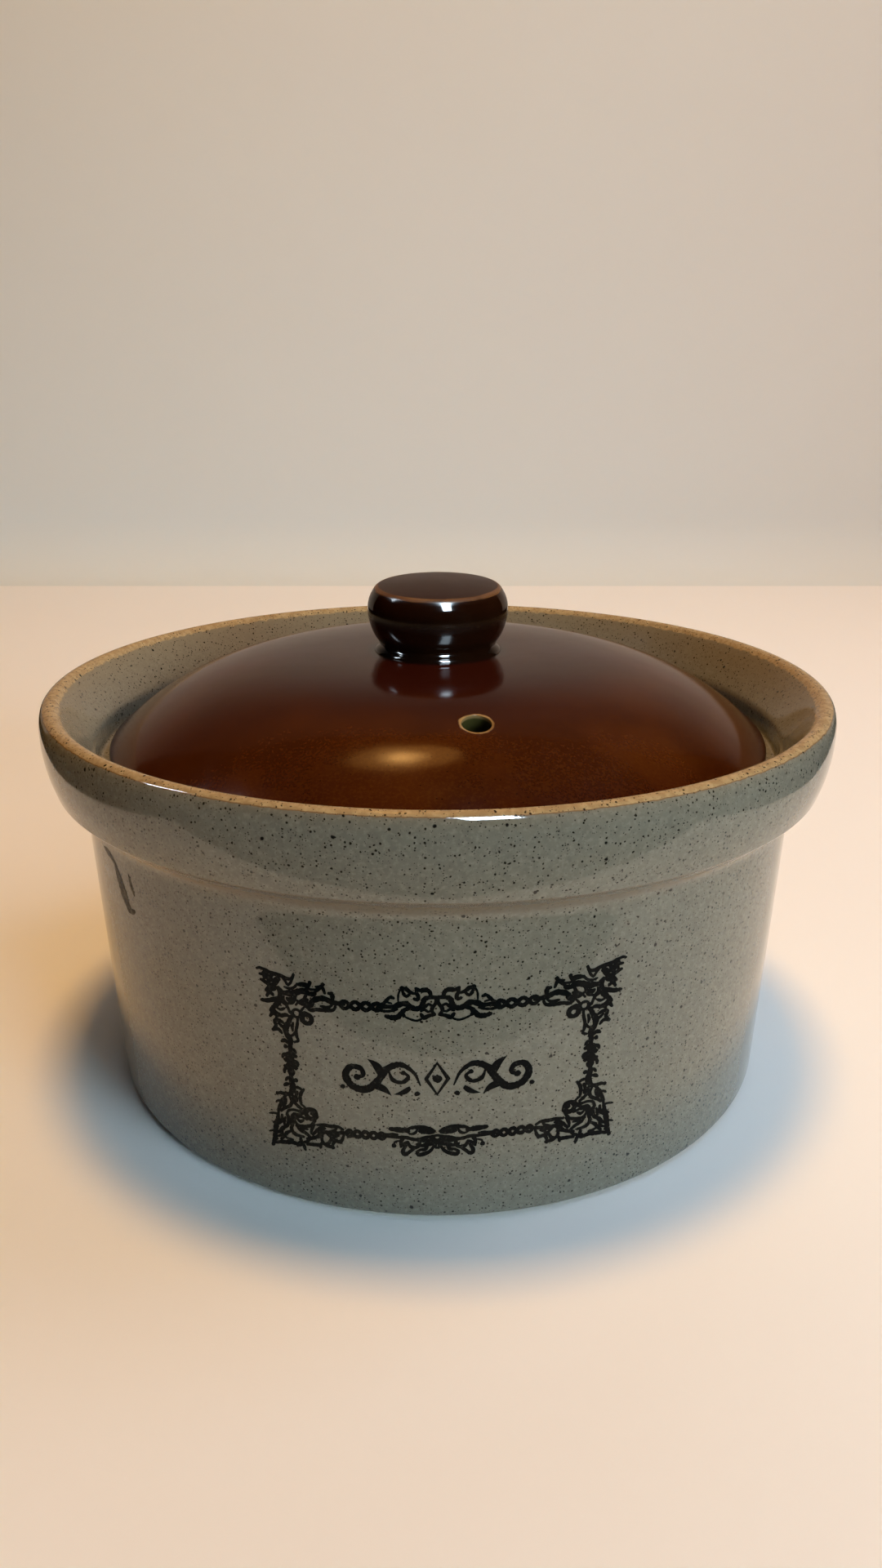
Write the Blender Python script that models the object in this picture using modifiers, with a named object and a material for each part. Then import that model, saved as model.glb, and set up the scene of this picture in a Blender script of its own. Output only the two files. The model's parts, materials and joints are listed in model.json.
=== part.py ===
"""Lidded stoneware ragout dish: a round dish with a collar and an inner lid ledge, a domed lid and its knob."""
import math

import bpy
from mathutils import Matrix, Vector

# Sizes are in metres. The dish stands on z = 0 and is turned about the z axis.

# Dish, outside
DISH_HEIGHT = 0.1005
RIM_RADIUS = 0.1000
RIM_WIDTH = 0.0036
RIM_INNER_FILLET = 0.0014
RIM_OUTER_FILLET = 0.0019
COLLAR_HEIGHT = 0.0191
COLLAR_WIDEST_DROP = 0.0060
COLLAR_BULGE_RADIUS = 0.0385
COLLAR_EDGE_FILLET = 0.0014
COVE_HEIGHT = 0.0044
COVE_FILLET = 0.0070
WALL_TOP_RADIUS = 0.0910
FOOT_RADIUS = 0.0876
FOOT_EDGE_FILLET = 0.0025
FOOT_RING_WIDTH = 0.0100
FOOT_RING_FILLET = 0.0006
FOOT_RECESS_DEPTH = 0.0018
FOOT_RECESS_SLOPE = 0.0012

# Dish, inside
FLOOR_THICKNESS = 0.0078
CAVITY_FLOOR_RADIUS = 0.0800
CAVITY_FLOOR_FILLET = 0.0140
CAVITY_TOP_RADIUS = 0.0810
LEDGE_DEPTH = 0.0173
LEDGE_WIDTH = 0.0064
LEDGE_EDGE_FILLET = 0.0010
LEDGE_CORNER_FILLET = 0.0012
LEDGE_WALL_HEIGHT = 0.0058
MOUTH_FILLET = 0.0040

# Lid
SEAT_GAP = 0.0003
LID_CLEARANCE = 0.0030
LID_EDGE_HEIGHT = 0.0034
LID_EDGE_TOP_FILLET = 0.0025
LID_EDGE_BOTTOM_FILLET = 0.0012
LID_THICKNESS = 0.0060
DOME_RISE = 0.0209
DOME_FULLNESS = 3.8
FLANGE_CLEARANCE = 0.0012
FLANGE_DEPTH = 0.0070
FLANGE_WIDTH = 0.0050
FLANGE_CORNER_FILLET = 0.0015
FLANGE_ROOT_FILLET = 0.0030
VENT_RADIUS = 0.0034
VENT_DISTANCE = 0.0546
VENT_ANGLE = math.radians(-81)

# Knob, with heights above the dome's crown
KNOB_RADIUS = 0.0180
KNOB_WIDEST_HEIGHT = 0.0104
KNOB_SIDE_RADIUS = 0.0132
KNOB_SHOULDER_HEIGHT = 0.0158
KNOB_SHOULDER_FILLET = 0.0012
KNOB_TOP_CROWN = 0.0012
KNOB_NECK_HEIGHT = 0.0016
KNOB_NECK_FILLET = 0.0015
KNOB_FOOT_RADIUS = 0.0154
KNOB_FOOT_EDGE = 0.0005

# Facets
ROUND_SEGMENTS = 64
KNOB_SEGMENTS = 48
VENT_SEGMENTS = 24
ARC_STEP = math.radians(22.5)
BULGE_STEPS = 4
DOME_STEPS = 12
UNDERSIDE_STEPS = 8
KNOB_STEPS = 5
FILLET_SHARE = 0.48
MERGE_DISTANCE = 0.00001

# Levels and radii that several pieces share
LEDGE_LEVEL = DISH_HEIGHT - LEDGE_DEPTH
LEDGE_RADIUS = CAVITY_TOP_RADIUS + LEDGE_WIDTH
SEAT_LEVEL = LEDGE_LEVEL + SEAT_GAP
LID_RADIUS = LEDGE_RADIUS - LID_CLEARANCE
FLANGE_RADIUS = CAVITY_TOP_RADIUS - FLANGE_CLEARANCE


def clear_scene():
    """Remove every object, so that the script always starts from nothing."""
    for old in list(bpy.data.objects):
        bpy.data.objects.remove(old)


def new_collection(name):
    """A collection linked to the scene."""
    collection = bpy.data.collections.new(name)
    bpy.context.scene.collection.children.link(collection)
    return collection


def glaze(name, colour, roughness):
    """A glazed stoneware material with one colour."""
    material = bpy.data.materials.new(name)
    material.use_nodes = True
    shader = material.node_tree.nodes["Principled BSDF"]
    shader.inputs["Base Color"].default_value = (*colour, 1.0)
    shader.inputs["Roughness"].default_value = roughness
    shader.inputs["Metallic"].default_value = 0.0
    return material


def rounded_path(corners):
    """Path through (radius, height, fillet) corners, with an arc at each corner that has a fillet."""
    path = []
    for index, (radius, height, fillet) in enumerate(corners):
        corner = Vector((radius, height))
        if fillet == 0:
            path.append(corner)
            continue
        before = Vector(corners[index - 1][:2]) - corner
        after = Vector(corners[index + 1][:2]) - corner
        turn = math.pi - before.angle(after)
        longest_reach = FILLET_SHARE * min(before.length, after.length)
        reach = min(fillet * math.tan(turn / 2), longest_reach)
        arc_radius = reach / math.tan(turn / 2)
        inward = (before.normalized() + after.normalized()).normalized()
        centre = corner + inward * arc_radius / math.cos(turn / 2)
        spoke = corner + before.normalized() * reach - centre
        direction = math.copysign(1, after.cross(before))
        steps = max(1, round(turn / ARC_STEP))
        for step in range(steps + 1):
            path.append(centre + Matrix.Rotation(direction * turn * step / steps, 2) @ spoke)
    return path


def turned(name, path, segments, material, collection, parent, height):
    """A solid turned about z from a path that runs from the axis, down its outer side, to the axis."""
    mesh = bpy.data.meshes.new(name)
    points = [(point.x, 0.0, point.y) for point in path]
    mesh.from_pydata(points, [(index, index + 1) for index in range(len(points) - 1)], [])
    mesh.materials.append(material)
    piece = bpy.data.objects.new(name, mesh)
    piece.parent = parent
    piece.location.z = height
    collection.objects.link(piece)
    screw = piece.modifiers.new("turn", "SCREW")
    screw.axis = "Z"
    screw.steps = segments
    screw.render_steps = segments
    screw.use_merge_vertices = True
    screw.merge_threshold = MERGE_DISTANCE
    screw.use_smooth_shade = True
    return piece


def collar_radius(level):
    """Outer radius of the convex collar at a level."""
    below_widest = DISH_HEIGHT - COLLAR_WIDEST_DROP - level
    bulge = COLLAR_BULGE_RADIUS - math.sqrt(COLLAR_BULGE_RADIUS ** 2 - below_widest ** 2)
    return RIM_RADIUS - bulge


def dish_path():
    """Section of the dish: cavity, lid ledge, flared mouth, collar, cove, wall and foot ring."""
    floor_level = FOOT_RECESS_DEPTH + FLOOR_THICKNESS
    mouth_level = LEDGE_LEVEL + LEDGE_WALL_HEIGHT
    collar_bottom = DISH_HEIGHT - COLLAR_HEIGHT
    rim_outer = collar_radius(DISH_HEIGHT)
    foot_inner = FOOT_RADIUS - FOOT_RING_WIDTH
    corners = [
        (0.0, floor_level, 0),
        (CAVITY_FLOOR_RADIUS, floor_level, CAVITY_FLOOR_FILLET),
        (CAVITY_TOP_RADIUS, LEDGE_LEVEL, LEDGE_EDGE_FILLET),
        (LEDGE_RADIUS, LEDGE_LEVEL, LEDGE_CORNER_FILLET),
        (LEDGE_RADIUS, mouth_level, MOUTH_FILLET),
        (rim_outer - RIM_WIDTH, DISH_HEIGHT, RIM_INNER_FILLET),
        (rim_outer, DISH_HEIGHT, RIM_OUTER_FILLET),
    ]
    for step in range(1, BULGE_STEPS):
        level = DISH_HEIGHT - COLLAR_HEIGHT * step / BULGE_STEPS
        corners.append((collar_radius(level), level, 0))
    corners += [
        (collar_radius(collar_bottom), collar_bottom, COLLAR_EDGE_FILLET),
        (WALL_TOP_RADIUS, collar_bottom - COVE_HEIGHT, COVE_FILLET),
        (FOOT_RADIUS, 0.0, FOOT_EDGE_FILLET),
        (foot_inner, 0.0, FOOT_RING_FILLET),
        (foot_inner - FOOT_RECESS_SLOPE, FOOT_RECESS_DEPTH, FOOT_RING_FILLET),
        (0.0, FOOT_RECESS_DEPTH, 0),
    ]
    return rounded_path(corners)


def dome_height(radius):
    """Height of the lid's outer dome above its seat."""
    return LID_EDGE_HEIGHT + DOME_RISE * (1 - (radius / LID_RADIUS) ** DOME_FULLNESS)


def underside_height(radius):
    """Height of the hollow underside above the seat, one lid thickness below the dome square to its slope."""
    slope = DOME_RISE * DOME_FULLNESS / LID_RADIUS * (radius / LID_RADIUS) ** (DOME_FULLNESS - 1)
    return dome_height(radius) - LID_THICKNESS / math.cos(math.atan(slope))


def lid_path():
    """Section of the lid above its seat: dome, edge, seat face, locating flange and hollow underside."""
    flange_inner = FLANGE_RADIUS - FLANGE_WIDTH
    corners = []
    for step in range(DOME_STEPS):
        radius = LID_RADIUS * step / DOME_STEPS
        corners.append((radius, dome_height(radius), 0))
    corners += [
        (LID_RADIUS, LID_EDGE_HEIGHT, LID_EDGE_TOP_FILLET),
        (LID_RADIUS, 0.0, LID_EDGE_BOTTOM_FILLET),
        (FLANGE_RADIUS, 0.0, LID_EDGE_BOTTOM_FILLET),
        (FLANGE_RADIUS, -FLANGE_DEPTH, FLANGE_CORNER_FILLET),
        (flange_inner, -FLANGE_DEPTH, FLANGE_CORNER_FILLET),
        (flange_inner, underside_height(flange_inner), FLANGE_ROOT_FILLET),
    ]
    for step in range(UNDERSIDE_STEPS - 1, -1, -1):
        radius = flange_inner * step / UNDERSIDE_STEPS
        corners.append((radius, underside_height(radius), 0))
    return rounded_path(corners)


def knob_side_radius(height):
    """Radius of the knob's round side at a height above the dome's crown."""
    from_widest = height - KNOB_WIDEST_HEIGHT
    return KNOB_RADIUS - KNOB_SIDE_RADIUS + math.sqrt(KNOB_SIDE_RADIUS ** 2 - from_widest ** 2)


def knob_path():
    """Section of the knob above the dome's crown: crowned top, round side, neck and spread foot."""
    shoulder_radius = knob_side_radius(KNOB_SHOULDER_HEIGHT)
    corners = []
    for step in range(KNOB_STEPS):
        share = step / KNOB_STEPS
        height = KNOB_SHOULDER_HEIGHT + KNOB_TOP_CROWN * (1 - share ** 2)
        corners.append((shoulder_radius * share, height, 0))
    corners.append((shoulder_radius, KNOB_SHOULDER_HEIGHT, KNOB_SHOULDER_FILLET))
    for step in range(1, KNOB_STEPS):
        height = KNOB_SHOULDER_HEIGHT + (KNOB_NECK_HEIGHT - KNOB_SHOULDER_HEIGHT) * step / KNOB_STEPS
        corners.append((knob_side_radius(height), height, 0))
    corners.append((knob_side_radius(KNOB_NECK_HEIGHT), KNOB_NECK_HEIGHT, KNOB_NECK_FILLET))
    foot_level = dome_height(KNOB_FOOT_RADIUS) - dome_height(0.0) + SEAT_GAP
    corners.append((KNOB_FOOT_RADIUS, foot_level + KNOB_FOOT_EDGE, 0))
    for step in range(KNOB_STEPS + 1):
        radius = KNOB_FOOT_RADIUS * (1 - step / KNOB_STEPS)
        corners.append((radius, dome_height(radius) - dome_height(0.0) + SEAT_GAP, 0))
    return rounded_path(corners)


def vent_cutter(collection, parent):
    """Upright cylinder that bores the steam vent through the dome."""
    place = Vector((VENT_DISTANCE * math.cos(VENT_ANGLE), VENT_DISTANCE * math.sin(VENT_ANGLE), 0.0))
    place.z = dome_height(VENT_DISTANCE) - LID_THICKNESS / 2
    bpy.ops.mesh.primitive_cylinder_add(vertices=VENT_SEGMENTS, radius=VENT_RADIUS, depth=4 * LID_THICKNESS)
    cutter = bpy.context.object
    cutter.name = "vent_cutter"
    cutter.parent = parent
    cutter.location = place
    cutter.hide_render = True
    cutter.display_type = "WIRE"
    for home in list(cutter.users_collection):
        home.objects.unlink(cutter)
    collection.objects.link(cutter)
    return cutter


def build():
    """Make the dish, and the lid and knob that lift off it together."""
    clear_scene()
    parts = new_collection("ragout_dish")
    cutters = new_collection("ragout_dish_cutters")
    speckled_grey = glaze("speckled_grey_glaze", (0.26, 0.25, 0.21), 0.25)
    brown = glaze("brown_glaze", (0.060, 0.020, 0.006), 0.12)
    dark_brown = glaze("dark_brown_glaze", (0.030, 0.011, 0.005), 0.12)

    turned("dish", dish_path(), ROUND_SEGMENTS, speckled_grey, parts, None, 0.0)

    lid_lift = bpy.data.objects.new("lid_lift", None)
    lid_lift.location.z = SEAT_LEVEL
    parts.objects.link(lid_lift)
    lid = turned("lid", lid_path(), ROUND_SEGMENTS, brown, parts, lid_lift, 0.0)
    vent = lid.modifiers.new("vent", "BOOLEAN")
    vent.operation = "DIFFERENCE"
    vent.solver = "EXACT"
    vent.object = vent_cutter(cutters, lid_lift)
    turned("lid_knob", knob_path(), KNOB_SEGMENTS, dark_brown, parts, lid_lift, dome_height(0.0))


build()
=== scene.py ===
"""Looks of the lidded ragout dish: speckled and brown glazes, a printed frame, floor, light and camera."""
import json
import math
import random
from collections import namedtuple

import bpy
import numpy as np
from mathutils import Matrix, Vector, geometry


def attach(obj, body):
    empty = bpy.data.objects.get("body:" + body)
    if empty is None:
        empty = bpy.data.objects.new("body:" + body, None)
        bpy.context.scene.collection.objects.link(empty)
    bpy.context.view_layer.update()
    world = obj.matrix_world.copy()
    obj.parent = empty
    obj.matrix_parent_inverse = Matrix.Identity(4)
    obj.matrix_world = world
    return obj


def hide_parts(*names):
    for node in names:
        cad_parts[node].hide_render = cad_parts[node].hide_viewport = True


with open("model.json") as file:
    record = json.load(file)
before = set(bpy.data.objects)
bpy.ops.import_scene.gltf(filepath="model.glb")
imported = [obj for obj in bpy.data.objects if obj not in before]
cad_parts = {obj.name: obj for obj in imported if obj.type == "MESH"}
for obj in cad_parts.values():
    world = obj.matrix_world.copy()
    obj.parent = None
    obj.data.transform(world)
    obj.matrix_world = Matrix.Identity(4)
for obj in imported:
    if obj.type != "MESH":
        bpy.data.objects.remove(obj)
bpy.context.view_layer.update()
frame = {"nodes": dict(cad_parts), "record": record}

MM = 0.001


def rgb(red, green, blue):
    return (red, green, blue, 1.0)


# Camera of the photograph: place in metres, downward pitch in degrees, lens in millimetres on a 36 mm frame
CAMERA_PLACE = (0.0008, -0.299, 0.178)
CAMERA_PITCH = 19.79
CAMERA_LENS = 27.06
CAMERA_SENSOR = 36.0
CAMERA_NEAR = 0.01

# Fineness of the turned pieces
DISH_SEGMENTS = 240
LID_SEGMENTS = 240
KNOB_SEGMENTS = 128
LONGEST_STEP = 2.4 * MM
LEAST_STEPS = 3
AXIS_RADIUS = 1e-6
PLACE_DIGITS = 7

# Unevenness of hand-finished clay, always inwards from the turned shape
DISH_UNEVEN = 0.22 * MM
LID_UNEVEN = 0.18 * MM
KNOB_UNEVEN = 0.16 * MM
DISH_PHASE = 0.7
LID_PHASE = 2.3
KNOB_PHASE = 4.1
UNEVEN_FROM = 0.2

# Its waves: strength, count round the piece, share of the phase, and turn in radians per metre of height
CLAY_WAVES = ((0.45, 2, 1.0, 9.0), (0.30, 3, -2.1, 31.0), (0.15, 5, 1.7, -58.0))

# Further rounding of the rim's outer edge under the glaze
RIM_SOFT_REACH = 6.0 * MM
RIM_SOFT_BLUR = 1.7 * MM

# The knob's foot on the dome, its lean, raise, flare and rounded crown, and where hands dull it
KNOB_SINK = 0.55 * MM
KNOB_FOOT_BAND = 1.3 * MM
KNOB_LEAN = math.radians(2.9)
KNOB_LEAN_FROM = 0.6
KNOB_RAISED = 0.5 * MM
KNOB_FLARE = 0.06
KNOB_FLARE_BAND = 2.6 * MM
KNOB_ROUNDED = 0.055
KNOB_CROWN = 1.2 * MM
KNOB_GRIP = 1.0 * MM
KNOB_SHOULDER = 2.0 * MM
KNOB_WORN = (2.5 * MM, 1.2 * MM)

# The vent's rounded lip, the tan ring round it, and the shape that cuts it
VENT_LIP = 0.5 * MM
VENT_LIP_STEPS = 8
VENT_LIP_LEVEL = 0.55
VENT_SEGMENTS = 48
VENT_RING = 0.55 * MM
VENT_RING_FADE = (0.55, 1.25)
VENT_RING_FRAY = 0.8 * MM
VENT_CUT_FLARE = 4
VENT_CUT_ABOVE = 12 * MM
VENT_CUT_BELOW = 14 * MM

# Where the glaze is thin, is deep or is wiped off, and where shade is painted in the cove and a reflection
# in the mouth; a pair runs from none to full
EDGE_RADIUS = 2.2 * MM
EDGE_BLUR = 0.7 * MM
EDGE_SHARE = 0.12
KNOB_BLUR = 0.22 * MM
RIM_FLAT = 0.2 * MM
RIM_TAN_OUTSIDE = (1.1 * MM, 0.25 * MM)
RIM_TAN_INSIDE = (2.6 * MM, 0.3 * MM)
BARE_FOOT = 1.0 * MM
BARE_FOOT_FADE = 0.8
BARE_SEAT_DROP = 1.2 * MM
BARE_SEAT_FADE = 0.6 * MM
BARE_SEAT_WIDTH = 12 * MM
BARE_SEAT_EDGE = 1.0 * MM
DEEP_GLAZE = (60.0 * MM, 34.0 * MM)
MOUTH_DEPTH = 14.0 * MM
COVE_BLUR = 0.5 * MM
COVE_SLOPE = 0.8
COVE_REACH = 1.6 * MM

# Printed frame: places in millimetres along and up the wall, its film, pen lines, blots and chains
PRINT_MIDDLE = 39.0
PRINT_LIFT = 0.03 * MM
PRINT_FILM = 0.03 * MM
FILM_SHARP = math.radians(40)
PRINT_SEED = 7
PRINT_TILT = 0.028
PRINT_PIVOT = 34.0
PRINT_SIDES = (1.0, -0.955)
SCROLL_ENDS = (0.7, 0.7)
SCROLL_WEIGHT = 1.16
PRINT_WELD = 1e-4
EVEN_ENDS = (1.0, 1.0)
CHAIN_ENDS = (0.8, 0.8)
SWELL_RATE = 3.2
STROKE_TREMBLE = (0.86, 1.14)
DOT_TREMBLE = (0.85, 1.15)
DOT_CORNERS = 9
RING_STEPS = 18
LEAF_STEPS = 6
LINK_STEPS = 16
PEN_STEP = 0.35
UPPER_BORDER = 55.6
LOWER_BORDER = 23.4
CHAIN_SPAN = (11.6, 21.0)
PANEL_MIDDLE = 38.3

# Stage and lamps, in metres
FLOOR_HALF_WIDTH = 1.15
FLOOR_FRONT = -1.05
SKY_TONE = rgb(0.60, 0.55, 0.48)
FLOOR_TONES = (rgb(0.91, 0.89, 0.89), rgb(0.93, 0.91, 0.91))
WALL_TONES = (rgb(0.75, 0.78, 0.79), rgb(0.78, 0.81, 0.82))
CARD_TONES = (rgb(0.42, 0.39, 0.36), rgb(0.46, 0.43, 0.40))
CARD_DARK = rgb(0.03, 0.027, 0.024)
STAGE_PATCH = 0.4
STAGE_ROUGHNESS = 0.9
CLOTH_HALF_WIDTH = 0.28
CLOTH_FRONT = -0.145
CARD_GAP = 0.02
CARD_HALF_WIDTH = 0.90
WALL_DISTANCE = 0.735
WALL_HEIGHT = 1.2
WALL_FADE = (0.15, 0.75)
WALL_SWEEP = 0.05
SWEEP_STEPS = 10
LAMP_AIM = (0.0, 0.0, 0.05)
AMBER_PLACE = (-0.10, 0.30, 1.00)

# Gloss and grain of the glazes
PALE_IOR = 1.44
BROWN_IOR = 1.54
INK_SHINE = 0.06
SCAR_SHINE = 0.05
NOISE_ROUGHNESS = 0.55
SPECK_SMALLEST = 0.4
SPECK_CORE = 0.6
WARP_SCALE = 1100.0
WARP_REACH = 0.4 * MM

# Specks of the pale glaze: cell and largest radius, least chance, strength and tone
SPECKS = (
    (0.56 * MM, 0.19 * MM, 0.42, 0.90, rgb(0.045, 0.036, 0.024)),
    (0.92 * MM, 0.32 * MM, 0.34, 0.95, rgb(0.012, 0.009, 0.006)),
    (2.7 * MM, 0.50 * MM, 0.45, 0.97, rgb(0.006, 0.005, 0.004)),
)

# Tones of the pale glaze
GREY = rgb(0.186, 0.171, 0.134)
BUFF = rgb(0.210, 0.192, 0.148)
DULL_GREY = rgb(0.130, 0.118, 0.090)
LIGHT_BUFF = rgb(0.300, 0.276, 0.216)
# Painted shade and reflection: the darker brown and tan of the hollow under the collar
COVE_SHADE_BROWN = rgb(0.150, 0.118, 0.078)
COVE_SHADE_TAN = rgb(0.200, 0.160, 0.108)
# Painted reflection of the brown lid and warm light: buff inside the mouth
MOUTH_REFLECTION_BUFF = rgb(0.235, 0.178, 0.108)
DARK_RUST = rgb(0.170, 0.080, 0.028)
RUST = rgb(0.250, 0.130, 0.050)
RIM_TAN = rgb(0.345, 0.232, 0.115)
RIM_SAND = rgb(0.470, 0.340, 0.180)
DARK_CLAY = rgb(0.42, 0.31, 0.19)
PALE_CLAY = rgb(0.54, 0.42, 0.28)

# Tones of the brown glaze: dark, warm and amber on the lid and on the knob
LID_TONES = (rgb(0.043, 0.0088, 0.0012), rgb(0.064, 0.0145, 0.0018), rgb(0.115, 0.036, 0.0046))
KNOB_TONES = (rgb(0.007, 0.0020, 0.0008), rgb(0.014, 0.0040, 0.0014), rgb(0.030, 0.009, 0.0024))
LID_GLOSS = 0.13
KNOB_GLOSS = 0.08
BROWN_SPECK = rgb(0.012, 0.004, 0.001)
DEEP_RED = rgb(0.024, 0.0034, 0.0018)
WORN_BROWN = rgb(0.036, 0.013, 0.0065)
EDGE_TAN = rgb(0.17, 0.075, 0.026)
VENT_TAN = rgb(0.34, 0.20, 0.075)
# Painted shade: dark olive down inside the vent's hole
VENT_SHAFT_SHADE = rgb(0.066, 0.052, 0.014)

# Tones of the print and of the scar
INK_BLACK = rgb(0.0030, 0.0040, 0.0042)
INK_WORN = rgb(0.0105, 0.0100, 0.0085)
INK_GRAIN = rgb(0.054, 0.049, 0.039)
SCAR_DARK = rgb(0.028, 0.022, 0.014)
SCAR_PALE = rgb(0.080, 0.066, 0.044)


class Nodes:
    """Adds shader nodes to one material by short calls."""

    def __init__(self, name):
        self.material = bpy.data.materials.new(name)
        self.material.use_nodes = True
        self.tree = self.material.node_tree
        self.shader = self.tree.nodes["Principled BSDF"]
        self.place = self.add("TexCoord").outputs["Object"]

    def add(self, kind, inputs=None, **settings):
        made = self.tree.nodes.new("ShaderNode" + kind)
        for key, value in settings.items():
            setattr(made, key, value)
        for key, value in (inputs or {}).items():
            self.feed(made.inputs[key], value)
        return made

    def feed(self, socket, value):
        if isinstance(value, bpy.types.NodeSocket):
            self.tree.links.new(value, socket)
        else:
            socket.default_value = value

    def surface(self, **inputs):
        for key, value in inputs.items():
            self.feed(self.shader.inputs[key.replace("_", " ")], value)

    def math(self, operation, first, second):
        return self.add("Math", {0: first, 1: second}, operation=operation).outputs[0]

    def vector(self, operation, first, second):
        return self.add("VectorMath", {0: first, 1: second}, operation=operation).outputs[0]

    def length(self, vector):
        return self.add("VectorMath", {0: vector}, operation="LENGTH").outputs["Value"]

    def span(self, value, low, high, start=0.0, end=1.0):
        """Smooth step of a value between two levels, to a start and an end."""
        inputs = {"Value": value, "From Min": low, "From Max": high, "To Min": start, "To Max": end}
        return self.add("MapRange", inputs, interpolation_type="SMOOTHSTEP").outputs[0]

    def mix(self, share, first, second):
        return self.add("Mix", {0: share, 6: first, 7: second}, data_type="RGBA").outputs[2]

    def tint(self, tone, mask, share, other):
        """A tone that takes on a share of another one where a mask is 1."""
        return self.mix(self.math("MULTIPLY", mask, share), tone, other)

    def plus(self, value, other, share):
        """A value raised by a share of another one."""
        return self.math("ADD", value, self.math("MULTIPLY", other, share))

    def frayed(self, value, noise, amount):
        """A value made uneven by noise, up and down by half an amount."""
        return self.plus(value, self.math("SUBTRACT", noise, 0.5), amount)

    def noise(self, size, detail=3.0):
        """Noise with features of about a size in metres."""
        inputs = {"Vector": self.place, "Scale": 1 / size, "Detail": detail, "Roughness": NOISE_ROUGHNESS}
        return self.add("TexNoise", inputs).outputs["Fac"]

    def specks(self, cell, radius, least, vector):
        """Mask of round specks, one in each cell at most, of radii up to one in metres."""
        made = self.add("TexVoronoi", {"Vector": vector, "Scale": 1 / cell}, feature="F1")
        chance = self.add("SeparateColor", {"Color": made.outputs["Color"]}).outputs[0]
        edge = self.span(chance, least, 1.0, SPECK_SMALLEST * radius / cell, radius / cell)
        mask = self.span(made.outputs["Distance"], self.math("MULTIPLY", edge, SPECK_CORE), edge, 1.0, 0.0)
        return self.math("MULTIPLY", mask, self.math("GREATER_THAN", chance, least))

    def axes(self):
        return self.add("SeparateXYZ", {"Vector": self.place}).outputs

    def attribute(self, name):
        return self.add("Attribute", attribute_name=name).outputs["Fac"]

    def bump(self, height, distance, normal=None):
        made = self.add("Bump", {"Height": height, "Distance": distance, "Strength": 1.0})
        if normal:
            self.feed(made.inputs["Normal"], normal)
        return made.outputs["Normal"]


def section(node):
    """A turned node's cut at azimuth zero, as radius and height from the axis above to the axis below."""
    mesh = frame["nodes"][node].data
    spots = {}
    for vertex in mesh.vertices:
        if abs(vertex.co.y) < AXIS_RADIUS and vertex.co.x > -AXIS_RADIUS:
            spots[vertex.index] = (round(vertex.co.x, PLACE_DIGITS), round(vertex.co.z, PLACE_DIGITS))
    links = {}
    for edge in mesh.edges:
        first, second = (spots.get(index) for index in edge.vertices)
        if first and second and first != second:
            links.setdefault(first, set()).add(second)
            links.setdefault(second, set()).add(first)
    walk = [max((spot for spot in links if len(links[spot]) == 1), key=lambda spot: spot[1])]
    while True:
        onward = [spot for spot in links[walk[-1]] if spot not in walk]
        if not onward:
            break
        walk.append(onward[0])
    if walk[0][0] > AXIS_RADIUS:
        walk.insert(0, (0.0, walk[0][1]))
    if walk[-1][0] > AXIS_RADIUS:
        walk.append((0.0, walk[-1][1]))
    return np.array(walk)


def refined(points):
    """A smooth line through a section's corners, each of them headed mostly along its longer side."""
    steps = np.diff(points, axis=0)
    lengths = np.hypot(steps[:, 0], steps[:, 1])
    headings = steps / lengths[:, None]
    weights = (lengths ** 2)[:, None]
    turned_to = headings[:-1] * weights[:-1] + headings[1:] * weights[1:]
    turned_to /= np.linalg.norm(turned_to, axis=1)[:, None]
    tangents = np.vstack([[1.0, 0.0], turned_to, [-1.0, 0.0]])
    line = [points[0]]
    for index, length in enumerate(lengths):
        count = max(LEAST_STEPS, math.ceil(length / LONGEST_STEP))
        for part in range(1, count + 1):
            t = part / count
            line.append(
                (2 * t ** 3 - 3 * t ** 2 + 1) * points[index]
                + (t ** 3 - 2 * t ** 2 + t) * length * tangents[index]
                + (3 * t ** 2 - 2 * t ** 3) * points[index + 1]
                + (t ** 3 - t ** 2) * length * tangents[index + 1]
            )
    return np.array(line)


def path_lengths(line):
    """Distance along a line at each of its points."""
    return np.concatenate([[0.0], np.cumsum(np.hypot(*np.diff(line, axis=0).T))])


def ramp(values, start, end):
    """Smooth rise from 0 at a start to 1 at an end."""
    share = np.clip((values - start) / (end - start), 0.0, 1.0)
    return share * share * (3 - 2 * share)


def nearness(along, blur):
    """Weight of each point for each other one, which falls off with their distance along a line."""
    return np.exp(-0.5 * ((along[:, None] - along[None, :]) / blur) ** 2)


def softened(line, middle, reach, blur):
    """A line whose corner at an index is rounded further, by averaging over a length within a reach."""
    along = path_lengths(line)
    spread = nearness(along, blur) * np.gradient(along)
    average = spread @ line / spread.sum(axis=1)[:, None]
    share = ramp(np.abs(along - along[middle]), reach, 0.5 * reach)
    return line + share[:, None] * (average - line)


def edge_thinness(line, blur):
    """How sharply a section turns outwards at each point, from 0 to 1, averaged over a length."""
    steps = np.diff(line, axis=0)
    headings = np.unwrap(np.arctan2(steps[:, 1], steps[:, 0]))
    turns = np.concatenate([[0.0], -np.diff(headings), [0.0]])
    along = path_lengths(line)
    bend = nearness(along, blur) @ turns / (blur * math.sqrt(2 * math.pi))
    return np.clip(bend * EDGE_RADIUS, 0.0, 1.0)


def scene_object(name, data):
    """A new object, linked to the scene."""
    made = bpy.data.objects.new(name, data)
    bpy.context.scene.collection.objects.link(made)
    return made


def smooth_piece(name, vertices, faces, corners=None):
    """A smooth mesh in the scene, with a bake map where its faces' corners have places on one."""
    mesh = bpy.data.meshes.new(name)
    mesh.from_pydata(vertices, [], faces)
    if corners is not None:
        layer = mesh.uv_layers.new(name="OFBake")
        layer.data.foreach_set("uv", np.ravel(corners))
    mesh.shade_smooth()
    return scene_object(name, mesh)


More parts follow.
